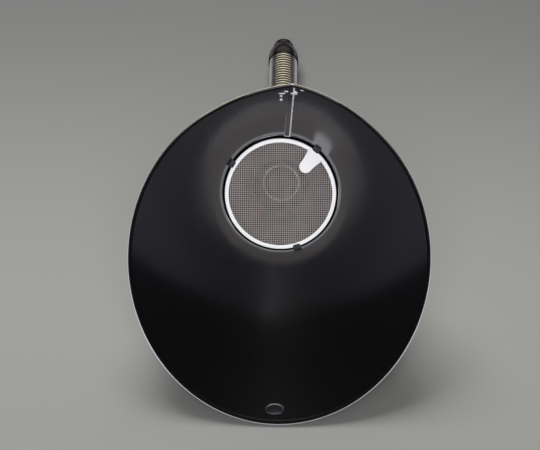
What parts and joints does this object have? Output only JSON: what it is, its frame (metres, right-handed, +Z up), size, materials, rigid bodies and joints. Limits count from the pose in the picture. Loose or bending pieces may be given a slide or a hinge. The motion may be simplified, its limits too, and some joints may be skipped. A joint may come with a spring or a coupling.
{
  "type": "filter funnel",
  "caption": "Sheet metal filling funnel with an oblique wire-bound mouth, a lift-out mesh strainer in its neck and a bent ribbed metal spout, lying on its rim and nose",
  "frame": {"origin": "middle of the lowest rectangle of the part as it lies on a table", "axes": "+Z up from the table, +Y along the straight run of the spout and out of its nose, X across the funnel; the mouth faces -Y and upward"},
  "size_m": [0.1656, 0.3583, 0.1275],
  "materials": {
    "dark_sheet": "black nickel plating, nearly mirror smooth",
    "bright_wire": "bright tinned wire",
    "white_ring": "smooth white",
    "wire_mesh": "fine plain weave",
    "plated_tube": "bright plating",
    "plated_spout": "bright plating over fine ribs"
  },
  "bodies": {
    "root": {"funnel_bowl": "dark_sheet", "rim_wire": "bright_wire", "seat_cup": "dark_sheet", "strainer_ring": "white_ring", "strainer_mesh": "wire_mesh", "outlet_socket": "plated_tube", "spout_hose": "plated_spout", "spout_tip": "dark_sheet"}
  },
  "joints": []
}
